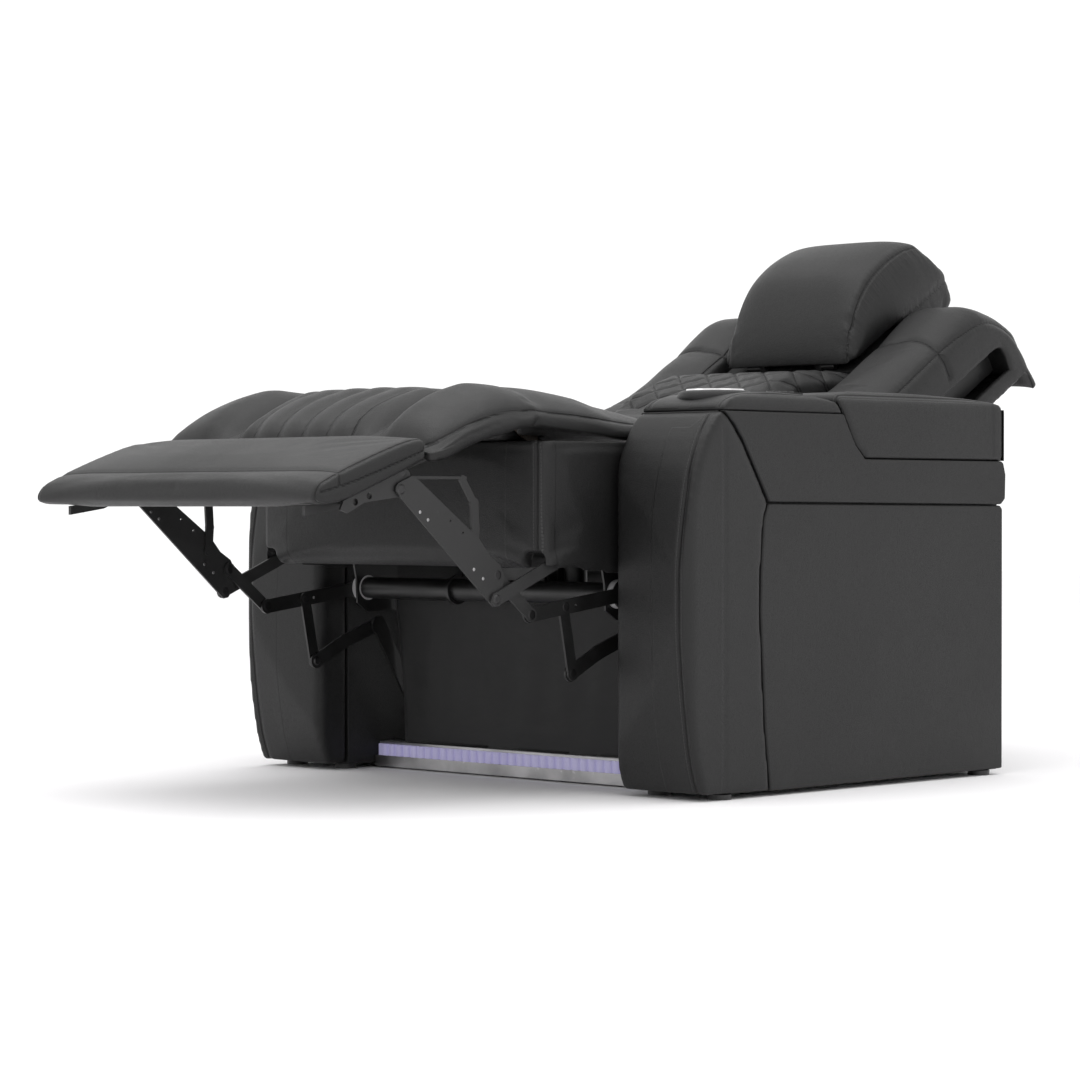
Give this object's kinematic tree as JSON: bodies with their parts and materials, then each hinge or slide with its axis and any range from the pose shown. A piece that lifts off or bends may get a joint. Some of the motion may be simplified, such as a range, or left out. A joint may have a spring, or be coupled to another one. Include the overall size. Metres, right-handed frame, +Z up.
{
  "type": "cinema recliner seat",
  "caption": "Single cinema recliner with wide lidded arms, a rising legrest on a steel linkage, a reclining padded back, a tilting headrest and a light strip below.",
  "frame": {"origin": "middle of the seat's footprint on the floor, between the arms", "axes": "+Z up, +Y towards the back of the seat, +X towards the sitter's left arm"},
  "size_m": [1.016, 1.7124, 0.9089],
  "materials": {
    "leather": "soft black leather with a fine grain and a low sheen",
    "leather_side": "black leather, fine grain",
    "black_steel": "black powder coat",
    "zinc_steel": "zinc plated steel",
    "bright_steel": "bright polished steel",
    "led_metal": "satin anodised channel",
    "lamp": "milky lavender lens",
    "white_plastic": "white nylon",
    "black_plastic": "fine matt",
    "button_plastic": "satin silver",
    "timber": "raw hardwood",
    "black_fabric": "black cloth"
  },
  "bodies": {
    "base": {"left_arm_shell": "leather_side", "right_arm_shell": "leather_side", "left_arm_front": "leather", "right_arm_front": "leather", "left_side_panel": "leather_side", "right_side_panel": "leather_side", "left_side_band": "leather_side", "right_side_band": "leather_side", "left_arm_top": "leather", "right_arm_top": "leather", "left_storage_tub": "black_plastic", "right_storage_tub": "black_plastic", "left_cup_holder": "bright_steel", "right_cup_holder": "bright_steel", "lid_hinges": "zinc_steel", "control_panel": "black_plastic", "glides": "black_plastic", "base_frame": "black_steel", "glide_rails": "zinc_steel", "led_channel": "led_metal", "led_strip": "lamp", "front_cloth": "black_fabric"},
    "seat": {"seat_side_plates": "black_steel", "seat_cross_tubes": "black_steel", "seat_runners": "white_plastic", "seat_frame": "timber", "seat_webbing": "black_fabric", "seat_box": "leather", "seat_cushion": "leather", "tube_bushings": "white_plastic", "legrest_actuator": "black_plastic", "recline_actuator": "black_plastic"},
    "legrest": {"legrest_frame": "black_steel", "chaise_pad": "leather", "footrest_pad": "leather", "footrest_brackets": "black_steel"},
    "carriers": {"carrier_links": "black_steel"},
    "mains": {"main_links": "black_steel", "pad_supports": "black_steel"},
    "crank": {"torque_tube": "zinc_steel", "crank_arms": "black_steel"},
    "drives": {"drive_links": "black_steel"},
    "swing_arm": {"swing_arms": "black_steel"},
    "swing_link": {"swing_links": "black_steel"},
    "back": {"back_frame": "black_steel", "left_back_bolster": "leather", "right_back_bolster": "leather", "lumbar_pad": "leather", "outside_back": "leather_side", "neck_board": "leather_side"},
    "headrest": {"headrest_plate": "black_steel", "headrest_pad": "leather"},
    "legrest_rod": {"legrest_rod": "bright_steel"},
    "recline_rod": {"recline_rod": "bright_steel"},
    "left_lid": {"left_storage_lid": "leather"},
    "right_lid": {"right_storage_lid": "leather"},
    "recline_button": {"recline_button": "button_plastic"},
    "legrest_button": {"legrest_button": "button_plastic"},
    "headrest_button": {"headrest_button": "button_plastic"},
    "light_button": {"light_button": "button_plastic"}
  },
  "joints": [
    {"name": "seat_glide", "type": "slide", "parent": "base", "child": "seat", "axis": [0, 1, 0], "range_m": [0, 0.1102], "deforming": ["front_cloth"]},
    {"name": "legrest_fold", "type": "hinge", "parent": "seat", "child": "legrest", "pos_m": [0, -0.417, 0.576], "axis": [1, 0, 0], "range_deg": [0, 68]},
    {"name": "carrier_swing", "type": "hinge", "parent": "seat", "child": "carriers", "pos_m": [0, -0.22897, 0.41399], "axis": [1, 0, 0], "range_deg": [0, 68.2]},
    {"name": "main_link_turn", "type": "hinge", "parent": "carriers", "child": "mains", "pos_m": [0, -0.49078, 0.30393], "axis": [1, 0, 0], "range_deg": [-68.2, 0]},
    {"name": "torque_tube_turn", "type": "hinge", "parent": "seat", "child": "crank", "pos_m": [0, -0.203, 0.306], "axis": [1, 0, 0], "range_deg": [0, 100.2]},
    {"name": "drive_link_turn", "type": "hinge", "parent": "crank", "child": "drives", "pos_m": [0, -0.40902, 0.27888], "axis": [1, 0, 0], "range_deg": [-98.2, 0]},
    {"name": "swing_arm_turn", "type": "hinge", "parent": "base", "child": "swing_arm", "pos_m": [0, -0.177, 0.243], "axis": [1, 0, 0], "range_deg": [0, 88.2]},
    {"name": "swing_link_turn", "type": "hinge", "parent": "swing_arm", "child": "swing_link", "pos_m": [0, -0.311, 0.187], "axis": [1, 0, 0], "range_deg": [-142.8, 0]},
    {"name": "legrest_rod_slide", "type": "slide", "parent": "seat", "child": "legrest_rod", "axis": [0, -1, 0], "range_m": [0, 0.0998]},
    {"name": "back_recline", "type": "hinge", "parent": "seat", "child": "back", "pos_m": [0, 0.235, 0.43], "axis": [1, 0, 0], "range_deg": [0, 45]},
    {"name": "recline_rod_slide", "type": "slide", "parent": "seat", "child": "recline_rod", "axis": [0, 1, 0], "range_m": [0, 0.0846]},
    {"name": "headrest_tilt", "type": "hinge", "parent": "back", "child": "headrest", "pos_m": [0, 0.54971, 0.68676], "axis": [1, 0, 0], "range_deg": [0, 30]},
    {"name": "left_lid_hinge", "type": "hinge", "parent": "base", "child": "left_lid", "pos_m": [0.42225, 0.4934, 0.5157], "axis": [-1, 0, 0], "range_deg": [0, 85]},
    {"name": "right_lid_hinge", "type": "hinge", "parent": "base", "child": "right_lid", "pos_m": [-0.42225, 0.4934, 0.5157], "axis": [-1, 0, 0], "range_deg": [0, 85]},
    {"name": "recline_button_press", "type": "slide", "parent": "base", "child": "recline_button", "axis": [0, 0, -1], "range_m": [0, 0.0015], "stiffness_N_per_m": 400, "springref_m": -0.001},
    {"name": "legrest_button_press", "type": "slide", "parent": "base", "child": "legrest_button", "axis": [0, 0, -1], "range_m": [0, 0.0015], "stiffness_N_per_m": 400, "springref_m": -0.001},
    {"name": "headrest_button_press", "type": "slide", "parent": "base", "child": "headrest_button", "axis": [0, 0, -1], "range_m": [0, 0.0015], "stiffness_N_per_m": 400, "springref_m": -0.001},
    {"name": "light_button_press", "type": "slide", "parent": "base", "child": "light_button", "axis": [0, 0, -1], "range_m": [0, 0.0015], "stiffness_N_per_m": 400, "springref_m": -0.001}
  ],
  "couplings": [
    {"joint": "seat_glide", "follows": "legrest_fold", "m_per_rad": 0.092684},
    {"joint": "carrier_swing", "follows": "legrest_fold", "ratio": 1},
    {"joint": "main_link_turn", "follows": "legrest_fold", "ratio": -1},
    {"joint": "torque_tube_turn", "follows": "legrest_fold", "ratio": 1.4677},
    {"joint": "drive_link_turn", "follows": "legrest_fold", "ratio": -1.4387},
    {"joint": "swing_arm_turn", "follows": "legrest_fold", "ratio": 1.2916},
    {"joint": "swing_link_turn", "follows": "legrest_fold", "ratio": -2.0949},
    {"joint": "legrest_rod_slide", "follows": "legrest_fold", "m_per_rad": 0.083789},
    {"joint": "recline_rod_slide", "follows": "back_recline", "m_per_rad": 0.10718}
  ]
}
